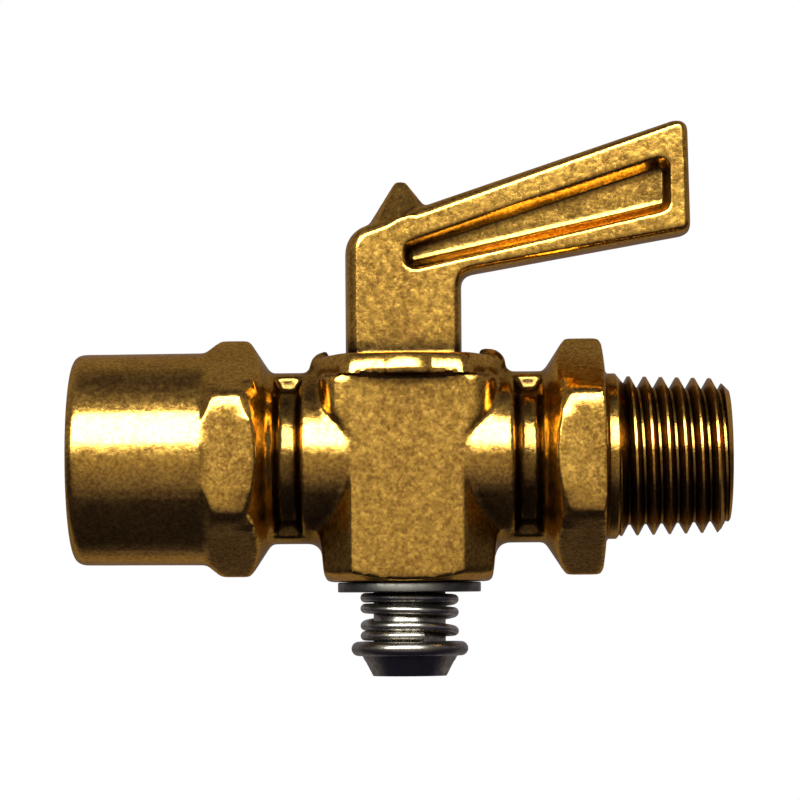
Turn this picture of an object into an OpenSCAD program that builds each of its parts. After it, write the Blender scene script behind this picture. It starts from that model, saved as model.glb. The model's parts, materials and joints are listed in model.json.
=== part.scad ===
// Shut-off cock, 1/4 inch pipe size: a forged brass body with a female and a male threaded end,
// a tapered plug that turns in it with its lever forged on, and a spring held by a screw below.
// Millimetres. The run lies along X from the female mouth at the origin to the male tip, +Z is up,
// and the plug turns about the upright axis where the barrel crosses the run.

/* [Run] */
// From the female mouth to the plug's axis
mouth_to_plug = 29.3; // [28.6:0.1:34]
// From the plug's axis to the male tip
plug_to_tip = 28.0; // [25.5:0.1:34]
// Length of the male end beyond its hex
male_l = 10.8; // [9:0.1:11.5]
// Diameter of the waterway through both arms
waterway_d = 6.8; // [5:0.1:7]
// Diameter of the round arms beside the barrel
arm_d = 15.0; // [14.6:0.1:15.4]

/* [Female end] */
// Outside diameter of the female end
female_d = 18.6; // [18.4:0.1:19.4]
// Length of the round part of the female end
female_l = 11.6; // [10.5:0.1:12]
// Diameter of the tapped wall, at the outer diameter of the thread
port_d = 13.7; // [12.5:0.1:14.4]
// Depth of the full tapped diameter
port_depth = 12.4; // [9:0.1:13]
// Chamfer at the mouth of the port
port_chamfer = 0.4; // [0.2:0.1:1]
// Rounding of the outer edge at the mouth
female_edge_r = 1.0; // [0.2:0.1:1.2]

/* [Wrench hexes] */
// Width across the flats of both hexes
hex_af = 18.1; // [17.6:0.1:18.2]
// Width of the female hex at its full height
female_hex_w = 2.2; // [1.5:0.1:3]
// Width of the male hex at its full height
male_hex_w = 2.7; // [1.5:0.1:3]
// Length of the slope from the wall of the female end up to its hex
female_rise = 1.5; // [1:0.1:2]
// Length of the slope from either hex down to its arm
hex_fall = 2.0; // [1.6:0.1:2.4]

/* [Male end] */
// Pitch of the pipe thread, 18 turns to the inch
pitch = 1.411; // [1.2:0.001:1.6]
// Diameter over the thread's crests where it leaves the collar
crest_d = 14.1; // [13.6:0.05:14.4]
// Depth of the thread
thread_h = 0.95; // [0.5:0.05:1.1]
// Length in which the thread's diameter falls by one
taper_length = 16; // [12:1:24]
// Diameter of the plain collar between hex and thread
collar_d = 14.5; // [14.4:0.1:15]
// Length of the collar
collar_l = 0.9; // [0.5:0.1:1.5]
// Chamfer at the male tip
tip_chamfer = 1.0; // [0.6:0.1:1.4]

/* [Barrel] */
// Width of the barrel along the run
barrel_w = 15.2; // [14.4:0.1:15.6]
// Depth of the barrel, front to back
barrel_t = 15.0; // [14.6:0.1:15.6]
// Rounding of the barrel's upright corners
barrel_corner_r = 2.4; // [1:0.1:3.5]
// From the axis of the run down to the barrel's foot
barrel_down = 10.85; // [10:0.05:12]
// Diameter of the ring round the top of the barrel
ring_d = 16.9; // [16.6:0.1:17.4]
// Height of the ring
ring_h = 2.0; // [1.6:0.1:2.2]
// From the axis of the run up to the ring's top
ring_up = 8.8; // [8.6:0.1:9.6]
// Rounding of the ring's upper edge
ring_edge_r = 1.0; // [0.4:0.1:1.1]

/* [Stop ears] */
// Height of the stop ear above the ring, on the male side
stop_ear_h = 0.65; // [0.3:0.05:1]
// Height of the plain ear above the ring, on the female side
plain_ear_h = 0.5; // [0.2:0.05:0.8]
// Width of both ears, front to back
ear_w = 3.2; // [2.4:0.1:4]
// Angle that the handle turns between its stops
turn_angle = 90; // [60:5:120]

/* [Plug] */
// Diameter of the tapered seat at its upper end
seat_d = 11.9; // [11.2:0.1:12]
// Diameter of the tapered seat at its lower end
seat_foot_d = 9.3; // [9.2:0.1:10.2]
// Running clearance of the plug in its seat, on the radius
seat_clearance = 0.05; // [0.02:0.01:0.1]
// Diameter of the plug's head disc
head_d = 13.9; // [13.6:0.1:14]
// Diameter of the port across the plug
plug_port_d = 6.4; // [4.5:0.1:6.8]

/* [Lever] */
// Thickness of stem and lever
lever_t = 5.6; // [4.8:0.1:6]
// From the plug's axis to the stem's left face
stem_left = 5.45; // [5:0.05:5.5]
// From the plug's axis to the stem's right face
stem_right = 4.75; // [4.2:0.05:5]
// Height of the lever's top line over the plug's axis
lever_top_up = 21.65; // [20.5:0.05:24]
// Height of the lever's underside where it leaves the stem
lever_under_up = 15.9; // [14.5:0.05:16.5]
// Slope of the lever's top line
lever_top_angle = 18.5; // [17:0.5:20]
// Slope of the lever's underside
lever_under_angle = 10.0; // [9:0.1:12]
// Reach of the lever from the plug's axis
lever_reach = 24.9; // [23:0.1:30]
// Width of the flat cut across the top of the lever's end
lever_cut = 1.8; // [1:0.1:2.4]
// How far the lever's faces draw in from the parting line at its top edge
top_draft = 0.95; // [0.3:0.05:1.2]
// How far the lever's faces draw in from the parting line at its underside, its end and its root
under_draft = 0.5; // [0.3:0.05:0.7]
// How far the faces draw in from the parting line along the stem's left side
left_draft = 1.1; // [0.3:0.05:1.3]
// Depth of the pocket in each face of the lever
pocket_depth = 1.1; // [0.5:0.05:1.6]
// Height of the pointed nib over the lever's top line
nib_h = 2.85; // [2:0.05:4]

/* [Washer, spring and screw] */
// Diameter of the keyed washer
washer_d = 12.5; // [11.5:0.1:13.5]
// Thickness of the keyed washer
washer_t = 0.85; // [0.6:0.05:1.2]
// Outer diameter of the spring
spring_d = 8.6; // [8.4:0.1:9.4]
// Diameter of the spring's wire
wire_d = 0.85; // [0.7:0.05:0.95]
// Height of the space that the spring fills
spring_h = 4.35; // [4.1:0.05:5.5]
// Diameter of the screw's shank
shank_d = 6.3; // [5:0.05:6.4]
// Diameter of the screw's flange
flange_d = 10.2; // [9.4:0.1:11.4]
// Thickness of the screw's flange
flange_t = 1.25; // [0.9:0.05:1.8]
// Diameter of the screw's cone below the flange
cone_d = 8.3; // [7.6:0.1:9]
// Diameter of the screw's cone at its foot
cone_foot_d = 6.5; // [5:0.1:7.4]
// Height of the screw's cone
cone_h = 1.75; // [1.4:0.05:2.4]
// Width of the driver slot
slot_w = 1.2; // [0.8:0.1:1.6]
// Depth of the driver slot
slot_depth = 1.3; // [0.6:0.1:1.6]

/* [Hidden] */
$fn = 96;

BRASS = "goldenrod";
STEEL = "dimgray";

// How far a cutter or a joined piece runs past the face that it meets, and the play between
// pieces that only rest on each other
overrun = 0.6;
play = 0.05;

// How soft the hex corners are forged, along the run and on the radius, how far the male hex's
// face leans back from the collar to the corners, and how much the female wall widens to its hex
hex_edge = 0.4;
hex_edge_fall = 0.5;
hex_face_lean = 0.25;
female_draft = 0.06;

// Radii that follow from the diameters
female_r = female_d / 2;
arm_r = arm_d / 2;
port_r = port_d / 2;
waterway_r = waterway_d / 2;
collar_r = collar_d / 2;
crest_r = crest_d / 2;
ring_r = ring_d / 2;
head_r = head_d / 2;
hex_corner_r = hex_af / 2 / cos(180 / 6);

// Places along the run, seen from the plug's axis
mouth_x = -mouth_to_plug;
female_wall_x = mouth_x + female_l;
female_hex_x0 = female_wall_x + female_rise;
female_hex_x1 = female_hex_x0 + female_hex_w;
male_face_x = plug_to_tip - male_l;
male_hex_x1 = male_face_x - hex_face_lean - hex_edge;
male_hex_x0 = male_hex_x1 - male_hex_w;

// The groove forged across the front and back of each arm, and the web left between them
groove_w = 2.6;
groove_floor_w = 1.4;
groove_depth = 1.05;
groove_web = 5.5;
groove_x = 10.4;

// The male thread's section, as shares of its pitch: half its crest and half its root, and how far
// before the hex's face the crest on top of the run starts
crest_share = 0.06;
root_share = 0.06;
start_share = 0.53;
thread_columns = 36;
thread_start_x = male_face_x - pitch * (1 + start_share);
thread_turns = ceil((plug_to_tip + pitch - thread_start_x) / pitch);

// Levels on the plug's axis
ring_foot = ring_up - ring_h;
barrel_foot = -barrel_down;
recess_depth = 2.1;
recess_floor = ring_up - recess_depth;
head_gap = 0.1;
head_foot = recess_floor + head_gap;
head_top = ring_up - 2 * head_gap;
recess_r = head_r + head_gap;
plug_recess = 0.4;
stem_foot = head_foot + head_gap;
plug_foot = barrel_foot + plug_recess;
washer_top = barrel_foot - play;
washer_foot = washer_top - washer_t;
flange_top = washer_foot - spring_h;
flange_foot = flange_top - flange_t;
cone_foot = flange_foot - cone_h;

// The foot of the barrel: the turned spot face opens as a shallow cone, and the sides draw in
spot_cone_rise = 0.7;
spot_cone_spread = 1.7;
foot_round = 0.5;
barrel_draft = 0.3;
arm_fillet_r = 1.1;

// The stop: a tooth of the ear in a notch of the head
stop_inner_r = 6.3;
stop_gap_angle = 0.3;
tooth_half_angle = asin(ear_w / 2 / stop_inner_r);
notch_r = seat_d / 2;
ear_round = 1.5;
ear_fall = 1.3;
ear_out = 0.1;
ear_fillet_r = 0.4;
plain_ear_inner_r = recess_r;

// The plug's tail, with its two flats, and the tapped hole in it
tail_r = 4.3;
tail_flat = 3.75;
tap_clearance = play;
tap_end = -6.0;
drill_angle = 118;

// The lever's corners at the parting line and on its faces
shoulder_r = 2.6;
shoulder_steps = 6;
shoulder_face_r = 1.5;
lever_corner_r = 0.9;
corner_face_r = 0.4;
lever_root_r = 1.1;
root_face_r = 1.6;
lever_end_lean = 0.15;
foot_fillet_r = 0.45;
hull_fn = 32;

// The section of lever and stem, as shares of half the thickness and of the draft; and the rise of
// the face's edge under the nib, as shares of the nib's left reach and of the rise
section_shares = [[-1, 1], [-0.88, 0.5], [-0.68, 0.22], [0, 0], [0.68, 0.22], [0.88, 0.5], [1, 1]];
rise_shares = [[0.92, 0], [0.58, 0.05], [0.29, 1], [0.08, 1], [-0.18, 0.65], [-0.41, 0]];
face_rise = 0.35;

// The pocket: its margins to the lever's edges, its corner radius and the draft of its walls
pocket_start_x = 0;
pocket_top_margin = 3.1;
pocket_end_margin = 2.1;
pocket_under_margin_root = 1.2;
pocket_under_margin_end = 2.3;
pocket_corner_r = 0.9;
pocket_draft = 0.75;
pocket_end_draft = 0.35;

// The nib: its place on the top line, the reach of its base and its blunt tip
nib_x = -0.55;
nib_left = 2.55;
nib_right = 2.0;
nib_depth = 2.1;
nib_tip_r = 0.5;
nib_tip_w = 0.36;

// The spring: its turns, the angle where the wire starts, and the shares of its closed pitch
// and of its open gap that it has wound down after each stretch of turns
spring_turns = 3.45;
spring_start_angle = 126;
spring_steps = 24;
wire_sides = 8;
coil_pitch = wire_d + play;
closed_share = [[0, 0], [0.4, 0], [0.65, 0.19], [1, 0.97], [1.15, 1], [1.4, 1.1], [1.65, 1.3],
    [2.15, 2.05], [2.45, 2.1], [2.65, 2.6], [3.15, 3.02], [3.45, 3.05]];
open_share = [[0, 0], [1, 0], [1.65, 0.22], [2.15, 0.98], [2.45, 1], [3.45, 1]];
closed_turns = closed_share[len(closed_share) - 1][1];
spring_open = spring_h - wire_d - 2 * play - coil_pitch * closed_turns;

function lever_top(x) = lever_top_up + x * tan(lever_top_angle);
function lever_under(x) = lever_under_up + (x - stem_right) * tan(lever_under_angle);
function arc(x, y, r, from, to, steps) =
    [for (i = [0:steps]) let (a = from + (to - from) * i / steps) [x + r * cos(a), y + r * sin(a)]];

// Turns a solid of revolution about the Z axis into one about the run
module along_run() rotate([0, 90, 0]) children();

// Stands an outline drawn in X and Z upright and gives it a thickness, front to back
module upright(t) rotate([90, 0, 0]) linear_extrude(t, center = true) children();

// A bar about the run, from x0 to x1
module run_bar(x0, x1, r0, r1) translate([x0, 0, 0]) along_run() cylinder(h = x1 - x0, r1 = r0, r2 = r1);

// The round female end: a wall with a rounded edge, falling away inside the hex
module female_end() {
    edge = arc(female_r - female_draft - female_edge_r, mouth_x + female_edge_r, female_edge_r, -90, 0, 6);
    along_run() rotate_extrude()
        polygon(concat([[0, mouth_x]], edge,
            [[female_r, female_wall_x], [female_r - hex_edge_fall, female_wall_x + female_rise / 2],
                [0, female_wall_x + female_rise / 2]]));
}

// The envelope that the forging die gives a hex, from one slope to the other
module hex_envelope(points) along_run() rotate_extrude() polygon(points);

module hex_bar(x0, x1) translate([x0, 0, 0]) along_run() cylinder(h = x1 - x0, r = hex_corner_r, $fn = 6);

module female_hex() {
    x0 = female_wall_x - hex_edge;
    x1 = female_hex_x1 + hex_fall;
    intersection() {
        hex_bar(x0, x1);
        hex_envelope([[0, x0], [female_r - hex_edge_fall, x0], [female_r, female_wall_x],
            [hex_corner_r - hex_edge_fall / 2, female_hex_x0 - hex_edge], [hex_corner_r, female_hex_x0],
            [hex_corner_r, female_hex_x1], [hex_corner_r - hex_edge_fall, female_hex_x1 + hex_edge],
            [arm_r, x1], [0, x1]]);
    }
}

module male_hex() {
    x0 = male_hex_x0 - hex_fall;
    intersection() {
        hex_bar(x0, male_face_x);
        hex_envelope([[0, x0], [arm_r, x0], [hex_corner_r - hex_edge_fall, male_hex_x0 - hex_edge],
            [hex_corner_r, male_hex_x0], [hex_corner_r, male_hex_x1],
            [hex_corner_r - hex_edge_fall, male_face_x - hex_face_lean], [collar_r, male_face_x],
            [0, male_face_x]]);
    }
}

// The groove across front and back of an arm; the web on the parting plane is left standing
module arm_groove(x) {
    deep_r = arm_r - groove_depth;
    difference() {
        translate([x, 0, 0]) along_run() rotate_extrude()
            polygon([[deep_r, -groove_floor_w / 2], [deep_r, groove_floor_w / 2],
                [arm_r, groove_w / 2], [arm_r + overrun, groove_w / 2],
                [arm_r + overrun, -groove_w / 2], [arm_r, -groove_w / 2]]);
        cube([2 * (x + groove_w) , groove_web, 2 * (arm_r + groove_w)], center = true);
        cube([2 * (groove_w - x) , groove_web, 2 * (arm_r + groove_w)], center = true);
    }
}

// The barrel: an upright square with rounded corners, its foot turned and its sides drawn in
module barrel() {
    h = ring_foot - barrel_foot;
    foot_r = barrel_t / 2 - hex_edge;
    intersection() {
        translate([0, 0, barrel_foot]) linear_extrude(h) rounded_square(barrel_w, barrel_t, barrel_corner_r);
        translate([0, 0, barrel_foot]) union() {
            cylinder(h = spot_cone_rise, r1 = foot_r, r2 = foot_r + spot_cone_spread);
            translate([0, 0, spot_cone_rise]) cylinder(h = h, r = barrel_w);
        }
        foot_rounding(barrel_w);
    }
}

// The soft inner corner where an arm meets the barrel's side, kept inside the barrel's depth
module arm_fillet() {
    r = arm_fillet_r;
    x = barrel_w / 2;
    intersection() {
        along_run() rotate_extrude() polygon(concat([[0, -x - r], [arm_r, -x - r]],
            arc(arm_r + r, -x - r, r, 180, 90, 6), arc(arm_r + r, x + r, r, 270, 180, 6), [[0, x + r]]));
        translate([0, 0, -ring_up]) cube([2 * (x + r), barrel_t - 2 * barrel_corner_r, 2 * ring_up], center = true);
    }
}

module foot_rounding(w) {
    x = w / 2 - barrel_draft;
    upright(2 * barrel_t)
        polygon(concat([[-w / 2, -arm_r]], arc(foot_round - x, barrel_foot + foot_round, foot_round, 180, 270, 5),
            arc(x - foot_round, barrel_foot + foot_round, foot_round, 270, 360, 5),
            [[w / 2, -arm_r], [w / 2, ring_up], [-w / 2, ring_up]]));
}

module rounded_square(w, t, r) {
    square([w - 2 * r, t], center = true);
    square([w, t - 2 * r], center = true);
    for (sx = [-1, 1], sy = [-1, 1]) translate([sx * (w / 2 - r), sy * (t / 2 - r)]) circle(r);
}

module ring() {
    edge = arc(ring_r - ring_edge_r, ring_up - ring_edge_r, ring_edge_r, 0, 90, 6);
    inner = barrel_t / 2 - overrun;
    rotate_extrude() polygon(concat([[0, ring_foot - overrun], [inner, ring_foot - overrun], [inner, ring_foot],
        [ring_r - head_gap, ring_foot], [ring_r, ring_foot + head_gap]], edge, [[0, ring_up]]));
}

// An ear on the edge of the ring, from its inner face out and down to the arm
module ear(inner, h) {
    top = ring_up + h;
    x = ring_r + ear_out;
    r = ear_fillet_r;
    foot = arc(x + r, arm_r + r, r, 270, 180, 4);
    curve = [for (a = [0:15:90]) [x - ear_round * (1 - cos(a)), top - ear_fall * (1 - sin(a))]];
    upright(ear_w) polygon(concat([[inner, recess_floor - overrun], [x + r, recess_floor - overrun]], foot, curve,
        [[inner, top]]));
}

// The thread's radius at a place along the run and a share of a turn
function thread_r(x, turn_share) =
    let (phase = (x - thread_start_x) / pitch - turn_share, part = phase - floor(phase))
    crest_r - (x - male_face_x) / taper_length / 2
        - thread_h * lookup(part, [[0, 0], [crest_share, 0], [1 / 2 - root_share, 1],
            [1 / 2 + root_share, 1], [1 - crest_share, 0], [1, 0]]);

// The threaded spigot: rows of points that follow the helix, closed by a fan at either end
module thread() {
    n = thread_columns;
    marks = [crest_share, 1 / 2 - root_share, 1 / 2 + root_share, 1 - crest_share];
    m = len(marks);
    rows = m * thread_turns;
    points = [for (j = [0:n - 1], i = [0:rows - 1])
        let (x = thread_start_x + pitch * (floor(i / m) + marks[i % m] + j / n), r = thread_r(x, j / n),
            a = 360 * j / n)
        [x, -r * sin(a), r * cos(a)]];
    x_end = thread_start_x + pitch * (thread_turns + 1);
    all = concat(points, [[thread_start_x, 0, 0], [x_end, 0, 0]]);
    c0 = len(points);
    c1 = c0 + 1;
    function id(i, j) = j * rows + i;
    skin = [for (j = [0:n - 2], i = [0:rows - 2]) each
        [[id(i, j), id(i + 1, j), id(i + 1, j + 1)], [id(i, j), id(i + 1, j + 1), id(i, j + 1)]]];
    seam = [for (i = [0:rows - m - 2]) each
        [[id(i, n - 1), id(i + 1, n - 1), id(i + m + 1, 0)], [id(i, n - 1), id(i + m + 1, 0), id(i + m, 0)]]];
    near = concat([for (j = [0:n - 2]) [c0, id(0, j), id(0, j + 1)]], [[c0, id(0, n - 1), id(m, 0)]],
        [for (i = [0:m - 1]) [c0, id(i + 1, 0), id(i, 0)]]);
    last = rows - 1;
    far = concat([for (j = [0:n - 2]) [c1, id(last, j + 1), id(last, j)]],
        [[c1, id(last, 0), id(last - m, n - 1)]],
        [for (i = [last - m:last - 1]) [c1, id(i, n - 1), id(i + 1, n - 1)]]);
    polyhedron(all, concat(skin, seam, near, far), convexity = 10);
}

module male_end() {
    tip_r = crest_r - male_l / taper_length / 2;
    collar_end = male_face_x + collar_l;
    run_bar(male_face_x - overrun, collar_end, collar_r, collar_r);
    run_bar(collar_end, collar_end + thread_h, collar_r, crest_r - thread_h);
    intersection() {
        thread();
        union() {
            run_bar(male_face_x - overrun, plug_to_tip - tip_chamfer, collar_r, collar_r);
            run_bar(plug_to_tip - tip_chamfer, plug_to_tip, tip_r, tip_r - tip_chamfer);
        }
    }
}

// The ways through the body: port, waterway, tapered seat and head recess
module body_bores() {
    port_end = mouth_x + port_depth;
    drill_l = (port_r - waterway_r) / tan(drill_angle / 2);
    run_bar(mouth_x - overrun, port_end, port_r, port_r);
    run_bar(port_end, port_end + drill_l, port_r, waterway_r);
    run_bar(mouth_x, mouth_x + port_chamfer, port_r + port_chamfer, port_r);
    run_bar(mouth_x - overrun, mouth_x, port_r + port_chamfer + overrun, port_r + port_chamfer);
    run_bar(port_end, plug_to_tip + overrun, waterway_r, waterway_r);
    seat_h = recess_floor - barrel_foot;
    taper = (seat_d - seat_foot_d) / 2 / seat_h;
    translate([0, 0, barrel_foot - overrun])
        cylinder(h = seat_h + 2 * overrun, r1 = seat_foot_d / 2 - taper * overrun, r2 = seat_d / 2 + taper * overrun);
    translate([0, 0, recess_floor]) cylinder(h = recess_depth + overrun, r = recess_r);
}

module body() color(BRASS) translate([mouth_to_plug, 0, 0]) {
    difference() {
        union() {
            female_end();
            female_hex();
            run_bar(female_hex_x1, male_hex_x0, arm_r, arm_r);
            male_hex();
            male_end();
            barrel();
            arm_fillet();
            ring();
            rotate([0, 0, 180]) ear(plain_ear_inner_r, plain_ear_h);
        }
        for (side = [-1, 1]) arm_groove(side * groove_x);
        body_bores();
    }
    ear(stop_inner_r, stop_ear_h);
}

// The outline of stem and lever, drawn in by a share of the draft: up the root, along the underside,
// round the end, back along the top and round the shoulder to the stem's foot
function lever_outline(share) =
    let (top_in = top_draft * share / cos(lever_top_angle), under_in = under_draft * share / cos(lever_under_angle),
        side_in = under_draft * share, left_in = left_draft * share,
        root_r = lever_root_r + (root_face_r - lever_root_r) * share,
        corner_r = lever_corner_r + (corner_face_r - lever_corner_r) * share,
        arm_r = shoulder_r + (shoulder_face_r - shoulder_r) * share,
        root_x = stem_right - side_in + root_r,
        root_z = lever_under(root_x) + under_in - root_r / cos(lever_under_angle),
        low_x = lever_reach - side_in - corner_r,
        low_z = lever_under(low_x) + under_in + corner_r / cos(lever_under_angle),
        high_x = low_x - lever_end_lean,
        cut_z = lever_top(lever_reach - lever_cut) - side_in,
        cut_x = lever_reach - lever_cut + (top_in - side_in) / tan(lever_top_angle),
        shoulder_x = left_in + arm_r - stem_left,
        shoulder_z = lever_top(shoulder_x) - top_in - arm_r / cos(lever_top_angle))
    concat([[stem_right - side_in, stem_foot]],
        arc(root_x, root_z, root_r, 180, 90 + lever_under_angle, 5),
        arc(low_x, low_z, corner_r, lever_under_angle - 90, 0, 4),
        arc(high_x, cut_z - corner_r, corner_r, 0, 90, 4), [[min(cut_x, high_x - corner_r / 2), cut_z]],
        [for (p = rise_shares) let (x = nib_x + p[0] * nib_left)
            [x, lever_top(x) - top_in + face_rise * p[1] * max(0, 2 * share - 1)]],
        arc(shoulder_x, shoulder_z, arm_r, 90 + lever_top_angle, 180, shoulder_steps),
        [[left_in - stem_left, stem_foot]]);

// Stem and lever as one forging: the outline at each level of its section, skinned; each face is a
// fan from the middle of the shoulder, which sees the whole outline
module lever_blank() {
    outlines = [for (p = section_shares) [for (q = lever_outline(p[1])) [q[0], p[0] * lever_t / 2, q[1]]]];
    n = len(outlines[0]);
    levels = len(outlines);
    skin = [for (k = [0:levels - 2], i = [0:n - 1]) let (j = (i + 1) % n, a = k * n, b = a + n) each
        [[a + i, a + j, b + j], [a + i, b + j, b + i]]];
    c = n - shoulder_steps + 1;
    near = [for (i = [1:n - 2]) [c, (c + i + 1) % n, (c + i) % n]];
    far = [for (t = near) [for (k = [2, 1, 0]) (levels - 1) * n + t[k]]];
    polyhedron([for (level = outlines) each level], concat(skin, near, far), convexity = 6);
}

module pocket(side) {
    x0 = pocket_start_x + pocket_corner_r;
    x1 = lever_reach - pocket_end_margin - pocket_corner_r;
    face = side * lever_t / 2;
    r = pocket_corner_r;
    places = [[x0, lever_top(x0) - pocket_top_margin - r], [x0, lever_under(x0) + pocket_under_margin_root + r],
        [x1, lever_under(x1) + pocket_under_margin_end + r], [x1, lever_top(x1) - pocket_top_margin - r]];
    shift = pocket_draft - pocket_end_draft;
    hull() for (p = places) {
        translate([p[0], face, p[1]]) rotate([90 * side, 0, 0]) translate([0, 0, -overrun])
            cylinder(h = overrun, r1 = r + overrun, r2 = r, $fn = hull_fn);
        translate([p[0] + (p[0] == x0 ? -shift : shift), face - side * pocket_depth, p[1]]) rotate([90, 0, 0])
            cylinder(h = play, r = r - pocket_draft, center = true, $fn = hull_fn);
    }
}

module nib() {
    z = lever_top(nib_x);
    base = [for (a = [0:45:315]) [nib_x + (cos(a) < 0 ? nib_left : nib_right) * cos(a), nib_depth * sin(a)]];
    hull() {
        for (p = base) translate([p[0], p[1], lever_top(p[0]) - overrun]) sphere(nib_tip_r, $fn = 12);
        for (dx = [-nib_tip_w / 2, nib_tip_w / 2])
            translate([nib_x + dx, 0, z + nib_h - nib_tip_r]) sphere(nib_tip_r, $fn = 12);
    }
}

// The bright fillet between the stem's faces and the head disc
module foot_fillet(side) {
    r = foot_fillet_r;
    l = stem_left + stem_right - left_draft - under_draft - 4 * play;
    translate([(stem_right - stem_left + left_draft - under_draft) / 2, side * (lever_t / 2 - play), head_top - play])
        rotate([90, 0, 90]) linear_extrude(l, center = true) mirror([side < 0 ? 1 : 0, 0]) difference() {
            square(r + play);
            translate([r + play, r + play]) circle(r);
        }
}

module plug_taper() {
    taper = (seat_d - seat_foot_d) / 2 / (recess_floor - barrel_foot);
    foot_r = seat_foot_d / 2 - seat_clearance + taper * plug_recess;
    h = head_foot - plug_foot + overrun;
    translate([0, 0, plug_foot]) cylinder(h = h, r1 = foot_r, r2 = foot_r + taper * h);
}

module plug_head() difference() {
    translate([0, 0, head_foot]) cylinder(h = head_top - head_foot, r = head_r);
    half = tooth_half_angle + stop_gap_angle;
    translate([0, 0, head_foot - overrun]) difference() {
        rotate_extrude(start = -half, angle = turn_angle + 2 * half)
            translate([notch_r, 0]) square([head_r, head_top - head_foot + 2 * overrun]);
    }
}

module plug_tail() intersection() {
    translate([0, 0, washer_foot + play]) cylinder(h = plug_foot - washer_foot, r = tail_r);
    translate([0, 0, washer_foot]) cube([2 * tail_flat, 2 * tail_r, 2 * barrel_down], center = true);
}

module plug_lever() color(BRASS) translate([mouth_to_plug, 0, 0]) difference() {
    union() {
        plug_taper();
        plug_head();
        plug_tail();
        lever_blank();
        nib();
        for (side = [-1, 1]) foot_fillet(side);
    }
    along_run() cylinder(h = 2 * ring_d, d = plug_port_d, center = true);
    tap_r = shank_d / 2 + tap_clearance;
    tap_l = tap_end - washer_foot + overrun;
    translate([0, 0, washer_foot - overrun]) cylinder(h = tap_l, r = tap_r);
    translate([0, 0, tap_end]) cylinder(h = tap_r / tan(drill_angle / 2), r1 = tap_r, r2 = 0);
    for (side = [-1, 1]) pocket(side);
}

module key_washer() color(STEEL) translate([mouth_to_plug, 0, washer_foot]) difference() {
    cylinder(h = washer_t, d = washer_d);
    translate([0, 0, -overrun]) intersection() {
        cylinder(h = washer_t + 2 * overrun, r = tail_r + play);
        cube([2 * (tail_flat + play), 4 * tail_r, 4 * washer_t + 4 * overrun], center = true);
    }
}

// The spring: a round wire wound left-handed, closed at both ends and open between
module spring() {
    r = (spring_d - wire_d) / 2;
    steps = ceil(spring_turns * spring_steps);
    top = washer_foot - play - wire_d / 2;
    points = [for (i = [0:steps], k = [0:wire_sides - 1])
        let (u = spring_turns * i / steps, a = spring_start_angle + 360 * u, b = 360 * k / wire_sides,
            z = top - coil_pitch * lookup(u, closed_share) - spring_open * lookup(u, open_share),
            rr = r + wire_d / 2 * cos(b))
        [rr * cos(a), rr * sin(a), z + wire_d / 2 * sin(b)]];
    n = wire_sides;
    skin = [for (i = [0:steps - 1], k = [0:n - 1]) let (k1 = (k + 1) % n) each
        [[i * n + k, i * n + k1, (i + 1) * n + k1], [i * n + k, (i + 1) * n + k1, (i + 1) * n + k]]];
    caps = [[for (k = [n - 1:-1:0]) k], [for (k = [0:n - 1]) steps * n + k]];
    color(STEEL) translate([mouth_to_plug, 0, 0]) polyhedron(points, concat(skin, caps), convexity = 10);
}

module retaining_screw() {
    shank_r = shank_d / 2;
    flange_r = flange_d / 2;
    lip = flange_t / 2;
    shank_top = tap_end - 3 * play;
    outline = concat([[0, shank_top], [shank_r - slot_w / 2, shank_top], [shank_r, shank_top - slot_w / 2],
        [shank_r, flange_top]], arc(flange_r - lip, flange_top - lip, lip, 90, -90, 8),
        [[cone_d / 2, flange_foot], [cone_foot_d / 2, cone_foot], [0, cone_foot]]);
    color(STEEL) translate([mouth_to_plug, 0, 0]) difference() {
        rotate_extrude() polygon(outline);
        translate([0, 0, cone_foot]) cube([2 * cone_d, slot_w, 2 * slot_depth], center = true);
    }
}

body();
plug_lever();
key_washer();
spring();
retaining_screw();
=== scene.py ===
# %% [markdown]
# # A small brass shut-off cock
#
# This lesson dresses an exact model of a 1/4 inch shut-off cock. The real one is a plug cock: a hot-forged
# brass body, a tapered brass plug with its lever forged on, and below it a washer, a spring and a screw that
# draw the plug into its seat. The exact model gives every size and place. What is added here is what forging
# and turning leave on the metal: soft edges, a grained skin, crisp threads, a bright spring.

import json
import math

import bpy
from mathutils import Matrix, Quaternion, Vector


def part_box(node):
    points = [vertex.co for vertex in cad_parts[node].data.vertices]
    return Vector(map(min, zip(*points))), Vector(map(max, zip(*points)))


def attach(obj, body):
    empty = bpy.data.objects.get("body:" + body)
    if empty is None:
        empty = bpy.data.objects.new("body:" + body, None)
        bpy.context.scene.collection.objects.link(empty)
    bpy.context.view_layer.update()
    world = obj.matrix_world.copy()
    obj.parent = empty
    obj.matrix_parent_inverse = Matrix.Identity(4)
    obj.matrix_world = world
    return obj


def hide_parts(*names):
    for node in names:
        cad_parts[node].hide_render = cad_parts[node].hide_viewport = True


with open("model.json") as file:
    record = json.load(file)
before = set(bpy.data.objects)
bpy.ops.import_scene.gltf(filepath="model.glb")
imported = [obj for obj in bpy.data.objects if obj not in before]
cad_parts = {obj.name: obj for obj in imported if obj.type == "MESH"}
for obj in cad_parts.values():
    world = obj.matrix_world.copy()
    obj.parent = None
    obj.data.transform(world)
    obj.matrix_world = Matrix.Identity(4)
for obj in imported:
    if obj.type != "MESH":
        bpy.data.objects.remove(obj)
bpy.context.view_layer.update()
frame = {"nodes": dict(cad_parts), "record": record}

MM = 0.001
PLUG_X = frame["record"]["behaviour"]["joints"][0]["pos_m"][0]

# %% [markdown]
# ## The camera
#
# The washer's edge is dead straight in the picture while the ring above it arches, so the camera stood near
# the washer's height and looked slightly upwards. The round ends bulge outwards by about a millimetre, which
# gives the distance. The picture is turned by less than half a degree.

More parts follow.
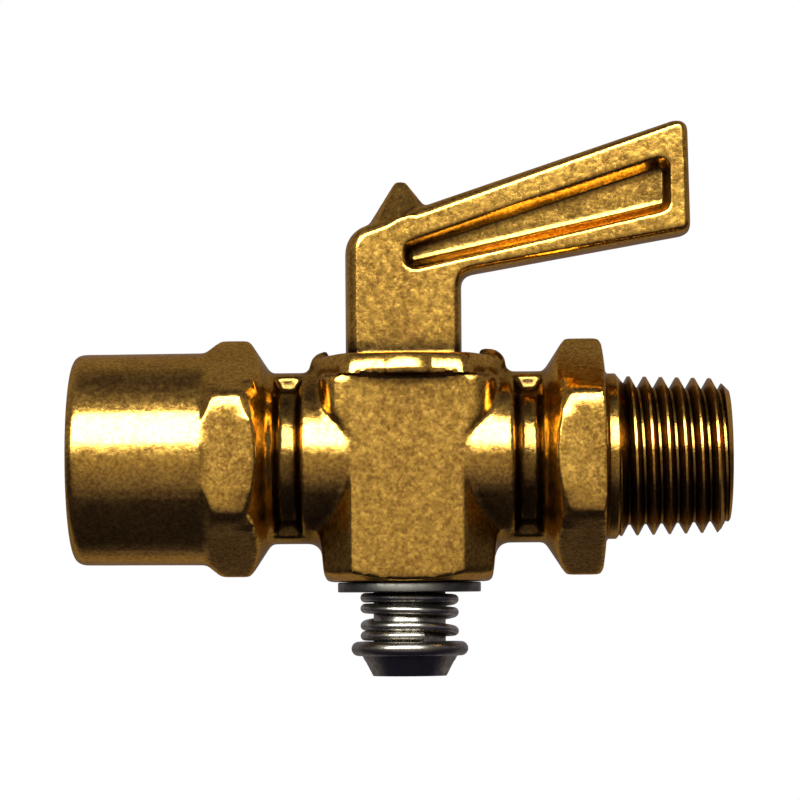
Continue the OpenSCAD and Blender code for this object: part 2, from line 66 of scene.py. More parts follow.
# %% Camera
CAMERA_PLACE = Vector((0.0323, -0.300, -0.013))
CAMERA_AIM = Vector((0.028595, 0, 0.00507))
CAMERA_ROLL = math.radians(0.42)
PICTURE_PIXELS = 800
PIXELS_PER_MM = 11.4
SENSOR_MM = 36

sight = CAMERA_AIM - CAMERA_PLACE
camera_data = bpy.data.cameras.new("camera")
camera_data.sensor_width = SENSOR_MM
camera_data.lens = PIXELS_PER_MM * sight.length / MM * SENSOR_MM / PICTURE_PIXELS
camera_data.clip_start, camera_data.clip_end = 0.01, 5
camera = bpy.data.objects.new("camera", camera_data)
bpy.context.scene.collection.objects.link(camera)
camera.location = CAMERA_PLACE
camera.rotation_mode = "QUATERNION"
camera.rotation_quaternion = Quaternion(sight.normalized(), CAMERA_ROLL) @ sight.to_track_quat("-Z", "Y")
bpy.context.scene.camera = camera
print("lens", round(camera_data.lens, 1), "mm")

# %% [markdown]
# ## Small helpers
#
# Operators act on whatever is selected, so one helper selects a single object. Colours are written as they look,
# in sRGB, and turned to linear by one function.


# %% Helpers
def select_only(obj):
    bpy.ops.object.select_all(action="DESELECT")
    obj.select_set(True)
    bpy.context.view_layer.objects.active = obj


def apply_modifier(obj, kind, **settings):
    select_only(obj)
    modifier = obj.modifiers.new(kind.lower(), kind)
    for name, value in settings.items():
        setattr(modifier, name, value)
    bpy.ops.object.modifier_apply(modifier=modifier.name)


def copy_node(node, name):
    """A free copy of an exact node, with its loose triangles merged into one skin."""
    source = frame["nodes"][node]
    copy = bpy.data.objects.new(name, source.data.copy())
    bpy.context.scene.collection.objects.link(copy)
    copy.data.materials.clear()
    select_only(copy)
    bpy.ops.object.mode_set(mode="EDIT")
    bpy.ops.mesh.select_all(action="SELECT")
    bpy.ops.mesh.remove_doubles(threshold=0.0005 * MM)
    bpy.ops.object.mode_set(mode="OBJECT")
    return copy


def combine(obj, other, operation):
    """Joins, cuts or intersects two closed solids, and deletes the second one."""
    apply_modifier(obj, "BOOLEAN", operation=operation, object=other, solver="MANIFOLD")
    bpy.data.objects.remove(other)


def triangles(obj):
    obj.data.calc_loop_triangles()
    return len(obj.data.loop_triangles)


def linear(hex_colour):
    """An sRGB hex colour as a linear one with alpha."""
    parts = [int(hex_colour[i : i + 2], 16) / 255 for i in (1, 3, 5)]
    return [p / 12.92 if p <= 0.04045 else ((p + 0.055) / 1.055) ** 2.4 for p in parts] + [1]


# %% [markdown]
# ## Bars and turned shapes
#
# A cutter or a collar is a plain cylinder along the run or along the plug. A turned shape is an outline of
# radius and height, spun about its axis.


# %% Turned shapes
def bar(name, start, end, radius_start, radius_end=None, sides=128, axis="X", across=0):
    """A round bar or cone along the run, or along the plug's axis."""
    bpy.ops.object.select_all(action="DESELECT")
    middle, length = (start + end) / 2, end - start
    along_run = axis == "X"
    bpy.ops.mesh.primitive_cone_add(
        vertices=sides,
        radius1=radius_start,
        radius2=radius_start if radius_end is None else radius_end,
        depth=length,
        location=(middle, 0, 0) if along_run else (across, 0, middle),
        rotation=(0, math.pi / 2, 0) if along_run else (0, 0, 0),
    )
    obj = bpy.context.object
    obj.name = name
    bpy.ops.object.transform_apply(location=True, rotation=True, scale=True)
    return obj


def spun(name, outline, axis_x, sides=128):
    """A closed solid of revolution about an upright axis, from points of radius and height."""
    mesh = bpy.data.meshes.new(name)
    points = [(axis_x + r, 0, z) for r, z in outline]
    mesh.from_pydata(points, [(i, i + 1) for i in range(len(points) - 1)], [])
    obj = bpy.data.objects.new(name, mesh)
    bpy.context.scene.collection.objects.link(obj)
    select_only(obj)
    bpy.ops.object.mode_set(mode="EDIT")
    bpy.ops.mesh.select_all(action="SELECT")
    bpy.ops.mesh.spin(steps=sides, angle=2 * math.pi, center=(axis_x, 0, 0), axis=(0, 0, 1))
    bpy.ops.mesh.select_all(action="SELECT")
    bpy.ops.mesh.remove_doubles(threshold=0.001 * MM)
    bpy.ops.mesh.normals_make_consistent(inside=False)
    bpy.ops.object.mode_set(mode="OBJECT")
    return obj


def arc(x, y, radius, start, end, steps):
    """Points on an arc, with its angles in degrees."""
    turns = [math.radians(start + (end - start) * i / steps) for i in range(steps + 1)]
    return [(x + radius * math.cos(t), y + radius * math.sin(t)) for t in turns]


# %% [markdown]
# ## Threads
#
# A thread is one tooth's outline wound up along the axis. A Screw modifier does exactly this: the outline of
# one pitch goes round once for each turn and climbs by one pitch. The ends are then cut flat and filled, and
# the rod is tapered by moving each point towards the axis in proportion to its place.


# %% Thread rod
def thread_rod(name, start, end, pitch, crest_r, depth, flat_share, phase=0, taper=0, steps=96):
    """A closed threaded rod along the run; crest_r holds at its start and taper is radius lost per length."""
    first = start - pitch * (2 + phase)
    root_r = crest_r - depth
    shares = [0, flat_share, 0.5 - flat_share, 0.5 + flat_share, 1 - flat_share, 1]
    radii = [crest_r, crest_r, root_r, root_r, crest_r, crest_r]
    mesh = bpy.data.meshes.new(name)
    points = [(first + pitch * s, 0, r) for s, r in zip(shares, radii)]
    mesh.from_pydata(points, [(i, i + 1) for i in range(len(points) - 1)], [])
    obj = bpy.data.objects.new(name, mesh)
    bpy.context.scene.collection.objects.link(obj)
    turns = math.ceil((end - first) / pitch) + 2
    apply_modifier(
        obj,
        "SCREW",
        axis="X",
        angle=2 * math.pi,
        steps=steps,
        render_steps=steps,
        screw_offset=pitch,
        iterations=turns,
        use_merge_vertices=False,
    )
    select_only(obj)
    bpy.ops.object.mode_set(mode="EDIT")
    bpy.ops.mesh.select_all(action="SELECT")
    bpy.ops.mesh.remove_doubles(threshold=0.001 * MM)
    for place, clear_inner in ((start, True), (end, False)):
        bpy.ops.mesh.select_all(action="SELECT")
        bpy.ops.mesh.bisect(
            plane_co=(place, 0, 0),
            plane_no=(1, 0, 0),
            use_fill=True,
            threshold=0.0001 * MM,
            clear_inner=clear_inner,
            clear_outer=not clear_inner,
        )
    bpy.ops.mesh.select_all(action="SELECT")
    bpy.ops.mesh.normals_make_consistent(inside=False)
    bpy.ops.object.mode_set(mode="OBJECT")
    for vertex in obj.data.vertices:
        radius = math.hypot(vertex.co.y, vertex.co.z)
        shrink = 1 - taper * (vertex.co.x - start) / max(radius, root_r)
        vertex.co.y *= shrink
        vertex.co.z *= shrink
    return obj


# %% [markdown]
# ## The forged body
#
# Hot forging leaves no sharp edge and no perfectly flat face. A voxel remesh of the exact body gives an even
# net of small faces, and a few passes of smoothing round the edges as the die did. The bores are filled for
# this step, because the machine shop cut them into the finished forging.

# %% Sizes of the body
VOXEL = 0.25 * MM
FINE = 0.0001 * MM
body_lo, body_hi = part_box("body")
MOUTH_X, TIP_X = body_lo.x, body_hi.x
HEX_FACE_X = frame["record"]["mounts"][1]["pos_m"][0]
PORT_R = 6.85 * MM
PORT_END = MOUTH_X + 12.4 * MM
WATERWAY_R = 3.4 * MM
RING_UP = 8.8 * MM
BARREL_FOOT = -10.85 * MM
RECESS_FLOOR = RING_UP - 2.1 * MM
RECESS_R = 7.05 * MM
SEAT_R, SEAT_FOOT_R = 5.95 * MM, 4.65 * MM
OVERRUN = 0.6 * MM


# %% Forging
def cut_off(obj, place, direction):
    """Removes what lies beyond a plane and closes the cut."""
    select_only(obj)
    bpy.ops.object.mode_set(mode="EDIT")
    bpy.ops.mesh.select_all(action="SELECT")
    bpy.ops.mesh.bisect(plane_co=place, plane_no=direction, use_fill=True, clear_outer=True, threshold=FINE)
    bpy.ops.object.mode_set(mode="OBJECT")


def forge(obj, voxel, passes, grain):
    """Turns an exact solid into a forging: even net, soft edges, slightly uneven skin."""
    apply_modifier(obj, "REMESH", mode="VOXEL", voxel_size=voxel, use_smooth_shade=True)
    apply_modifier(obj, "SMOOTH", factor=0.5, iterations=passes)
    skin = bpy.data.textures.new(obj.name + "_skin", "CLOUDS")
    skin.noise_scale = 0.9 * MM
    skin.noise_depth = 2
    apply_modifier(
        obj, "DISPLACE", texture=skin, texture_coords="LOCAL", direction="NORMAL", mid_level=0.5, strength=grain
    )
    print(obj.name, triangles(obj), "triangles")


ARM_R = 7.5 * MM
BARREL_T = 15.0 * MM
BARREL_HALF = 8.3 * MM


def corner_wedge(side_x, side_y, low, high, half_low, half_high):
    """A prism that takes one upright corner off the barrel, from a half width of its flat to another."""
    points = []
    for z, half in ((low, half_low), (high, half_high)):
        for x, y in (
            (half - 1 * MM, BARREL_T / 2 + 1 * MM),
            (BARREL_HALF, BARREL_T / 2 + half - BARREL_HALF),
            (BARREL_HALF, BARREL_T / 2 + 1 * MM),
        ):
            points.append((PLUG_X + side_x * x, side_y * y, z))
    mesh = bpy.data.meshes.new("wedge")
    mesh.from_pydata(points, [], [(0, 1, 2), (5, 4, 3), (0, 3, 4, 1), (1, 4, 5, 2), (2, 5, 3, 0)])
    obj = bpy.data.objects.new("wedge", mesh)
    bpy.context.scene.collection.objects.link(obj)
    select_only(obj)
    bpy.ops.object.mode_set(mode="EDIT")
    bpy.ops.mesh.select_all(action="SELECT")
    bpy.ops.mesh.normals_make_consistent(inside=False)
    bpy.ops.object.mode_set(mode="OBJECT")
    return obj


forging = copy_node("body", "forged_body")
for side_x in (-1, 1):
    for side_y in (-1, 1):
        low = corner_wedge(side_x, side_y, BARREL_FOOT - OVERRUN, 1.5 * MM, 4.85 * MM, 4.85 * MM)
        high = corner_wedge(side_x, side_y, 1.5 * MM, 5.2 * MM, 4.85 * MM, 7.2 * MM)
        combine(forging, low, "DIFFERENCE")
        combine(forging, high, "DIFFERENCE")
combine(forging, bar("arms", PLUG_X - 8.4 * MM, PLUG_X + 8.4 * MM, ARM_R), "UNION")
cut_off(forging, (HEX_FACE_X + 0.3 * MM, 0, 0), (1, 0, 0))
taper = (SEAT_R - SEAT_FOOT_R) / (RECESS_FLOOR - BARREL_FOOT)
for plug in (
    bar("port_core", MOUTH_X, PORT_END, PORT_R + 0.45 * MM),
    bar("drill_core", PORT_END - OVERRUN, PORT_END + 2.2 * MM, PORT_R, WATERWAY_R),
    bar("way_core", PORT_END, HEX_FACE_X + 0.3 * MM, WATERWAY_R + 0.1 * MM),
    bar("seat_core", BARREL_FOOT, RECESS_FLOOR, SEAT_FOOT_R + 0.1 * MM, SEAT_R + 0.1 * MM, axis="Z", across=PLUG_X),
    bar("recess_core", RECESS_FLOOR - OVERRUN, RING_UP, RECESS_R + 0.1 * MM, axis="Z", across=PLUG_X),
):
    combine(forging, plug, "UNION")
forge(forging, VOXEL, 5, 0.008 * MM)

# %% [markdown]
# ## Crowned ring and soft die edges
#
# The ring round the plug's head was left by the die with one full curve from its foot to its top, so it is
# drawn in a little more than the exact model has it. The hex's edges beside the flats that lay on the die's
# floor are softer than those at the parting line, so only they are smoothed again.

# %% Crown and die edges
RING_R = 8.45 * MM
RING_EDGE_R = 1.0 * MM
CROWN_R = 2.8 * MM
CROWN_FOOT = RING_UP - 1.75 * MM
BAND_FOOT = RING_UP - 2.1 * MM
BAND_R = 32 * MM
BAND_FRONT = 8.25 * MM
EAR_CLEAR = 1.9 * MM


def drawn_in(z, radius, start):
    """How far a curve of a radius that starts at a height has come in at another height."""
    rise = min(max(z - start, 0), radius)
    return radius - math.sqrt(radius**2 - rise**2)


def ramp_between(value, low, high):
    share = min(max((value - low) / (high - low), 0), 1)
    return share * share * (3 - 2 * share)


die_edges = forging.vertex_groups.new(name="die_edges")
HEXES = ((MOUTH_X + 12.6 * MM, MOUTH_X + 17 * MM), (HEX_FACE_X - 4 * MM, HEX_FACE_X - 0.6 * MM))
for vertex in forging.data.vertices:
    x, y, z = vertex.co
    radius = math.hypot(x - PLUG_X, y)
    if z > CROWN_FOOT and radius > RECESS_R and radius < RING_R + 0.3 * MM:
        inset = drawn_in(z, CROWN_R, CROWN_FOOT) - drawn_in(z, RING_EDGE_R, RING_UP - RING_EDGE_R)
        inset *= ramp_between(radius, RECESS_R, 7.6 * MM) * ramp_between(abs(y), EAR_CLEAR, EAR_CLEAR + 0.8 * MM)
        shrink = 1 - max(inset, 0) / radius
        vertex.co.x = PLUG_X + (x - PLUG_X) * shrink
        vertex.co.y = y * shrink
    across = abs(x - PLUG_X)
    if z > BAND_FOOT and radius > RECESS_R and across < 6.8 * MM:
        fuller = BAND_FRONT - across**2 / (2 * BAND_R) - math.sqrt(RING_R**2 - across**2)
        fuller *= 1 - ramp_between(across, 4.7 * MM, 6.8 * MM)
        fuller *= ramp_between(radius, RECESS_R, 7.8 * MM) * ramp_between(z, BAND_FOOT, BAND_FOOT + 0.3 * MM)
        vertex.co.y += math.copysign(fuller, y)
    if any(low < x < high for low, high in HEXES) and abs(abs(z) - 5.2 * MM) < 1.9 * MM and abs(y) > 7 * MM:
        die_edges.add([vertex.index], 1, "REPLACE")
apply_modifier(forging, "SMOOTH", factor=0.5, iterations=80, vertex_group="die_edges")

# %% [markdown]
# ## The turned male end
#
# The male thread is the tapered 1/4 inch pipe thread, 18 turns to the inch. It starts at a plain collar and
# ends in a chamfer.

# %% Male end
PITCH = 1.411 * MM
THREAD_DEPTH = 0.95 * MM
CREST_R = 7.05 * MM
COLLAR_R = 7.25 * MM
COLLAR_END = HEX_FACE_X + 0.9 * MM
TAPER = 1 / 32
TIP_CHAMFER = 1.0 * MM
START_SHARE = 0.53

male = thread_rod(
    "male", HEX_FACE_X, TIP_X, PITCH, CREST_R, THREAD_DEPTH, 0.06, phase=START_SHARE - 1, taper=TAPER
)
tip_r = CREST_R - (TIP_X - HEX_FACE_X) * TAPER
envelope = bar("envelope", HEX_FACE_X - 1 * MM, TIP_X - TIP_CHAMFER, COLLAR_R)
nose = bar("nose", TIP_X - TIP_CHAMFER, TIP_X, tip_r, tip_r - TIP_CHAMFER)
combine(envelope, nose, "UNION")
combine(male, envelope, "INTERSECT")
collar = bar("collar", HEX_FACE_X - 1 * MM, COLLAR_END, COLLAR_R)
run_out = bar("run_out", COLLAR_END, COLLAR_END + THREAD_DEPTH, COLLAR_R, CREST_R - THREAD_DEPTH)
combine(collar, run_out, "UNION")
combine(collar, male, "UNION")
combine(forging, collar, "UNION")
print("with male end", triangles(forging), "triangles")

# %% [markdown]
# ## Port, waterway and seat
#
# The female port carries the same thread, cut inwards from its plain wall. The seat is a slender cone, and
# above it lies the recess for the plug's head. One ear reaches into this recess as the stop tooth, so the
# recess's cutter leaves it standing.

# %% Bores
PORT_THREAD_DEPTH = 0.8 * MM
port = thread_rod(
    "port", MOUTH_X - OVERRUN, PORT_END - 2 * PITCH, PITCH, PORT_R, PORT_THREAD_DEPTH, 0.08, phase=0.2
)
lead_in = bar("lead_in", MOUTH_X - OVERRUN, MOUTH_X + 0.4 * MM, PORT_R + OVERRUN + 0.4 * MM, PORT_R)
relief = bar("relief", PORT_END - 3 * PITCH, PORT_END, PORT_R - PORT_THREAD_DEPTH / 2)
drill = bar("drill", PORT_END, PORT_END + 1.83 * MM, PORT_R - PORT_THREAD_DEPTH / 2, WATERWAY_R)
waterway = bar("waterway", PORT_END, TIP_X + OVERRUN, WATERWAY_R)
seat = bar(
    "seat",
    BARREL_FOOT - OVERRUN,
    RECESS_FLOOR + OVERRUN,
    SEAT_FOOT_R - taper * OVERRUN,
    SEAT_R + taper * OVERRUN,
    axis="Z",
    across=PLUG_X,
)
recess = bar("recess", RECESS_FLOOR, RING_UP + 2 * OVERRUN, RECESS_R, axis="Z", across=PLUG_X)
TOOTH_INNER = 6.3 * MM
EAR_W = 3.2 * MM
bpy.ops.mesh.primitive_cube_add(
    size=1,
    location=(PLUG_X + TOOTH_INNER + 1 * MM, 0, RING_UP - 1 * MM),
    scale=(2 * MM, EAR_W, 5 * MM),
)
tooth = bpy.context.object
bpy.ops.object.transform_apply(location=True, rotation=True, scale=True)
combine(recess, tooth, "DIFFERENCE")
for cutter in (port, lead_in, relief, drill, waterway, seat, recess):
    combine(forging, cutter, "DIFFERENCE")
select_only(forging)
bpy.ops.object.shade_smooth_by_angle(angle=math.radians(32))
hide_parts("body")
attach(forging, "housing")
print("body done", triangles(forging), "triangles")

# %% [markdown]
# ## The lever on its plug
#
# Lever, stem, head disc and plug are one forging. Only the lever and its stem keep the forged skin: they get
# the same even net and soft edges. The head disc and the tapered plug below it were turned, so they stay as
# the exact model has them, and the two halves are joined under the stem.

# %% Lever
HEAD_TOP = RING_UP - 0.2 * MM
lever = copy_node("plug_lever", "forged_lever")
turned = copy_node("plug_lever", "turned_plug")
cut_off(turned, (PLUG_X, 0, HEAD_TOP - 0.001 * MM), (0, 0, 1))
cut_off(lever, (PLUG_X, 0, HEAD_TOP - 0.4 * MM), (0, 0, -1))
forge(lever, 0.2 * MM, 3, 0.008 * MM)
cut_off(lever, (PLUG_X, 0, HEAD_TOP - 0.1 * MM), (0, 0, -1))
combine(lever, turned, "UNION")
select_only(lever)
bpy.ops.object.shade_smooth_by_angle(angle=math.radians(32))
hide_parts("plug_lever")
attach(lever, "plug")
print("lever done", triangles(lever), "triangles")

# %% [markdown]
# ## The washer
#
# The washer was punched from sheet, and tumbling took its burrs off, so its edges are slightly rounded.

# %% Washer
washer = copy_node("key_washer", "punched_washer")
apply_modifier(
    washer, "BEVEL", width=0.1 * MM, segments=3, limit_method="ANGLE", angle_limit=math.radians(50)
)
select_only(washer)
bpy.ops.object.shade_smooth_by_angle(angle=math.radians(40))
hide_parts("key_washer")
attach(washer, "plug")

# %% [markdown]
# ## The spring
#
# The spring is cold-wound wire. Its end coils lie closed on the washer and on the screw's flange, and between
# them the coils open. The wire's path is a table of how far it has wound down after so many turns.

# %% Spring
WIRE_R = 0.425 * MM
COIL_R = 4.3 * MM - WIRE_R
SPRING_TOP = -11.8 * MM
CLOSED_PITCH = 0.9 * MM
OPEN_GAP = 0.6 * MM
CLOSED = ((0, 0), (0.4, 0), (0.65, 0.19), (1, 0.97), (1.15, 1), (1.4, 1.1), (1.65, 1.3), (2.15, 2.05))
CLOSED += ((2.45, 2.1), (2.65, 2.6), (3.15, 3.02), (3.45, 3.05))
OPEN = ((0, 0), (1, 0), (1.65, 0.22), (2.15, 0.98), (2.45, 1), (3.45, 1))
TURNS = 3.45
START_DEGREES = 126


def lookup(table, value):
    for (a, low), (b, high) in zip(table, table[1:]):
        if value <= b:
            return low + (high - low) * (value - a) / (b - a)
    return table[-1][1]


SPRING_STEPS = 332
path = bpy.data.curves.new("spring", "CURVE")
path.dimensions = "3D"
line = path.splines.new("POLY")
line.points.add(SPRING_STEPS)
spring_lo, spring_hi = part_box("spring")
for i, point in enumerate(line.points):
    turn = TURNS * i / SPRING_STEPS
    around = math.radians(START_DEGREES) + 2 * math.pi * turn
    drop = CLOSED_PITCH * lookup(CLOSED, turn) + OPEN_GAP * lookup(OPEN, turn)
    z = spring_hi.z - WIRE_R - drop
    point.co = (PLUG_X + COIL_R * math.cos(around), COIL_R * math.sin(around), z, 1)
path.bevel_depth = WIRE_R
path.bevel_resolution = 6
path.use_fill_caps = True
spring = bpy.data.objects.new("wound_spring", path)
bpy.context.scene.collection.objects.link(spring)
select_only(spring)
bpy.ops.object.convert(target="MESH")
spring = bpy.context.object
bpy.ops.object.shade_smooth_by_angle(angle=math.radians(50))
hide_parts("spring")
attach(spring, "plug")
print("spring", triangles(spring), "triangles", spring_lo.z, spring_hi.z)

# %% [markdown]
# ## The screw
#
# The screw was turned in one go: shank, round-lipped flange and short cone. A saw cut across its foot takes
# the screwdriver.

# %% Screw
FLANGE_TOP = spring_lo.z
FLANGE_T = 1.25 * MM
CONE_FOOT = FLANGE_TOP - FLANGE_T - 1.75 * MM
LIP = FLANGE_T / 2
outline = [(0, -6.15 * MM), (2.5 * MM, -6.15 * MM), (3.15 * MM, -6.8 * MM), (3.15 * MM, FLANGE_TOP)]
outline += arc(5.1 * MM - LIP, FLANGE_TOP - LIP, LIP, 90, -90, 16)
outline += [(4.15 * MM, FLANGE_TOP - FLANGE_T), (3.25 * MM, CONE_FOOT), (0, CONE_FOOT)]
screw = spun("turned_screw", outline, PLUG_X)
bpy.ops.mesh.primitive_cube_add(
    size=1, location=(PLUG_X, 0, CONE_FOOT), scale=(20 * MM, 1.2 * MM, 2.6 * MM)
)
saw = bpy.context.object
bpy.ops.object.transform_apply(location=True, rotation=True, scale=True)
combine(screw, saw, "DIFFERENCE")
apply_modifier(screw, "BEVEL", width=0.08 * MM, segments=2, limit_method="ANGLE", angle_limit=math.radians(40))
select_only(screw)
bpy.ops.object.shade_smooth_by_angle(angle=math.radians(35))
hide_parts("retaining_screw")
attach(screw, "plug")
print("screw", triangles(screw), "triangles")

# %% [markdown]
# ## Materials
#
# The brass is a common forging alloy. Its skin has been shot-blasted and tumbled: satin, with fine dimples
# about half a millimetre apart that each catch the light in their own way.


# %% Material helper
def node(tree, kind, inputs=None, **settings):
    """Adds a node, sets its properties, and sets or links its inputs."""
    made = tree.nodes.new(kind)
    for name, value in settings.items():
        setattr(made, name, value)
    for name, value in (inputs or {}).items():
        if isinstance(value, bpy.types.NodeSocket):
            tree.links.new(value, made.inputs[name])
        else:
            made.inputs[name].default_value = value
    return made


def brass(name, grain_scale, reach, shade_from, shade_to):
    """Brass with a mottled grain, and painted shade: its colour turns dark where hollows let less of the sky in."""
    material = bpy.data.materials.new(name)
    material.use_nodes = True
    tree = material.node_tree
    shader = tree.nodes["Principled BSDF"]
    shader.inputs["Metallic"].default_value = 1
    shader.inputs["Specular Tint"].default_value = linear("#E8D6BC")
    place = node(tree, "ShaderNodeTexCoord").outputs["Object"]
    grain = node(tree, "ShaderNodeTexNoise", {"Vector": place, "Scale": grain_scale, "Detail": 3, "Roughness": 0.6})
    dimple = node(tree, "ShaderNodeTexNoise", {"Vector": place, "Scale": 1500, "Detail": 2, "Roughness": 0.5})
    cloud = node(tree, "ShaderNodeTexNoise", {"Vector": place, "Scale": 260, "Detail": 2, "Roughness": 0.5})
    mottle = node(
        tree,
        "ShaderNodeMath",
        {0: cloud.outputs["Fac"], 1: 0.35, 2: grain.outputs["Fac"]},
        operation="MULTIPLY_ADD",
    )
    colour = node(tree, "ShaderNodeValToRGB", {"Fac": mottle.outputs[0]})
    ramp = colour.color_ramp
    ramp.elements[0].position = 0.5
    ramp.elements[0].color = linear("#A87C3A")
    ramp.elements[1].position = 0.85
    ramp.elements[1].color = linear("#ECBC56")
    # Painted shade: ambient occlusion blends the base colour towards dark brown #211914 in hollows, creases, thread
    # roots and the walls of pockets and grooves.
    hollow = node(tree, "ShaderNodeAmbientOcclusion", {"Distance": reach}, samples=6)
    unshaded = node(
        tree,
        "ShaderNodeMapRange",
        {"Value": hollow.outputs["AO"], "From Min": shade_from, "From Max": shade_to},
    )
    painted_shade = node(
        tree,
        "ShaderNodeMix",
        {0: unshaded.outputs["Result"], 6: linear("#211914"), 7: colour.outputs["Color"]},
        data_type="RGBA",
    )
    tree.links.new(painted_shade.outputs[2], shader.inputs["Base Color"])
    rough = node(
        tree,
        "ShaderNodeMapRange",
        {"Value": dimple.outputs["Fac"], "From Min": 0.3, "From Max": 0.7, "To Min": 0.15, "To Max": 0.23},
    )
    tree.links.new(rough.outputs["Result"], shader.inputs["Roughness"])
    fine = node(
        tree, "ShaderNodeBump", {"Height": grain.outputs["Fac"], "Strength": 1, "Distance": 0.009 * MM}
    )
    both = node(
        tree,
        "ShaderNodeBump",
        {"Height": dimple.outputs["Fac"], "Strength": 1, "Distance": 0.012 * MM, "Normal": fine.outputs["Normal"]},
    )
    tree.links.new(both.outputs["Normal"], shader.inputs["Normal"])
    return material


def steel(name, dark, bright, rough_low, rough_high, scale):
    """Plain steel with a thin uneven film of oil and handling marks."""
    material = bpy.data.materials.new(name)
    material.use_nodes = True
    tree = material.node_tree
    shader = tree.nodes["Principled BSDF"]
    shader.inputs["Metallic"].default_value = 1
    place = node(tree, "ShaderNodeTexCoord").outputs["Object"]
    film = node(tree, "ShaderNodeTexNoise", {"Vector": place, "Scale": scale, "Detail": 3, "Roughness": 0.6})
    tint = node(tree, "ShaderNodeValToRGB", {"Fac": film.outputs["Fac"]})
    tint.color_ramp.elements[0].position = 0.35
    tint.color_ramp.elements[0].color = linear(dark)
    tint.color_ramp.elements[1].position = 0.65
    tint.color_ramp.elements[1].color = linear(bright)
    tree.links.new(tint.outputs["Color"], shader.inputs["Base Color"])
    rough = node(
        tree,
        "ShaderNodeMapRange",
        {"Value": film.outputs["Fac"], "From Min": 0.3, "From Max": 0.7, "To Min": rough_high, "To Max": rough_low},
    )
    tree.links.new(rough.outputs["Result"], shader.inputs["Roughness"])
    marks = node(
        tree, "ShaderNodeBump", {"Height": film.outputs["Fac"], "Strength": 1, "Distance": 0.006 * MM}
    )
    tree.links.new(marks.outputs["Normal"], shader.inputs["Normal"])
    return material


# The last two numbers are the occlusion values at which the painted shade in hollows is full and at which it ends.
BODY_BRASS = brass("hot_forged_brass", 3400, 3.8 * MM, 0.72, 0.97)
LEVER_BRASS = brass("hand_worn_brass", 3400, 2.4 * MM, 0.7, 0.97)
TURNED_BRASS = brass("turned_brass", 6000, 3.8 * MM, 0.36, 0.85)
SHEET_STEEL = steel("punched_steel", "#6A6A62", "#8C8A80", 0.32, 0.45, 1400)
WIRE_STEEL = steel("spring_wire", "#86847A", "#B8B4A8", 0.2, 0.3, 2200)
TURNED_STEEL = steel("turned_steel", "#706C62", "#98938A", 0.22, 0.34, 1800)
for piece, material in (
    (forging, BODY_BRASS),
    (lever, LEVER_BRASS),
    (washer, SHEET_STEEL),
    (spring, WIRE_STEEL),
    (screw, TURNED_STEEL),
):
    piece.data.materials.clear()
    piece.data.materials.append(material)
forging.data.materials.append(TURNED_BRASS)
for face in forging.data.polygons:
    x, y, z = face.center
    face.material_index = int(x > HEX_FACE_X or math.hypot(y, z) < PORT_R + 0.1 * MM and x < PORT_END)

# %% [markdown]
# ## The studio
#
# Metal shows its surroundings, so the studio is drawn into the world by direction. A large soft box hangs in
# front, a little above the camera and to its left. Below the horizon the front is lit by the table's near
# half, and the sides and the ground fall off to dark. The camera itself sees plain white.

# %% World
FRONT = (
    (-1.0, "#B0A8E8", 0.045),
    (-0.9, "#B0A8E8", 0.045),
    (-0.78, "#B8B0F0", 0.075),
    (-0.7, "#C8C0F0", 0.15),
    (-0.62, "#DCD0F0", 0.26),
    (-0.45, "#E8DCEC", 0.34),
    (-0.2, "#F4E6E4", 0.37),
    (0.02, "#FFF0E0", 0.38),
    (0.045, "#FFF0E0", 0.52),
    (0.1, "#FFF4E8", 0.22),
    (0.2, "#FFF4E8", 0.24),
    (0.5, "#FFF4F0", 0.33),
    (0.84, "#F0E4F0", 0.31),
    (0.93, "#E8DCF4", 0.24),
    (0.98, "#D0C4F0", 0.14),
    (1.0, "#C8B8F0", 0.1),
)
SIDES = (
    (-1.0, "#B0A8E8", 0.045),
    (-0.9, "#B0A8E8", 0.05),
    (-0.5, "#B8B0F0", 0.06),
    (-0.3, "#C4B8F0", 0.07),
    (-0.04, "#D8CCF0", 0.07),
    (0.06, "#E0D4F0", 0.1),
    (0.16, "#F4E8F0", 0.28),
    (0.5, "#F0E4F0", 0.26),
    (0.75, "#F0E4F0", 0.18),
    (0.93, "#F0E4F0", 0.18),
    (0.98, "#D0C4F0", 0.14),
    (1.0, "#C8B8F0", 0.1),
)
BACK = (
    (-1.0, "#B0A8E8", 0.045),
    (-0.95, "#B0A8E8", 0.07),
    (-0.88, "#C0B8F0", 0.16),
    (-0.8, "#D8CCF0", 0.28),
    (-0.6, "#F4E6E4", 0.38),
    (-0.4, "#F4E6E4", 0.3),
    (-0.1, "#F4E8F0", 0.2),
    (0.1, "#F4E8F0", 0.3),
    (0.5, "#F0E4F0", 0.36),
    (0.9, "#F0E4F0", 0.32),
    (0.96, "#D8CCF0", 0.16),
    (1.0, "#C8B8F0", 0.1),
)
SOFT_BOX = 14

world = bpy.data.worlds.new("studio")
bpy.context.scene.world = world
world.use_nodes = True
sky = world.node_tree
direction = node(sky, "ShaderNodeTexCoord").outputs["Generated"]
split = node(sky, "ShaderNodeSeparateXYZ", {"Vector": direction})
height = node(
    sky,
    "ShaderNodeMapRange",
    {"Value": split.outputs["Z"], "From Min": -1.0, "From Max": 1.0, "To Min": 0.0, "To Max": 1.0},
).outputs["Result"]
toward = node(sky, "ShaderNodeMath", {0: split.outputs["Y"], 1: -1.0}, operation="MULTIPLY").outputs[0]


def surroundings(bands):
    """A ramp over the height of the direction, from the nadir to the zenith."""
    made = node(sky, "ShaderNodeValToRGB", {"Fac": height})
    elements = made.color_ramp.elements
    elements.remove(elements[-1])
    for i, (z, colour, strength) in enumerate(bands):
        element = elements[0] if i == 0 else elements.new((z + 1) / 2)
        element.position = (z + 1) / 2
        element.color = [part * strength for part in linear(colour)[:3]] + [1]
    return made.outputs["Color"]


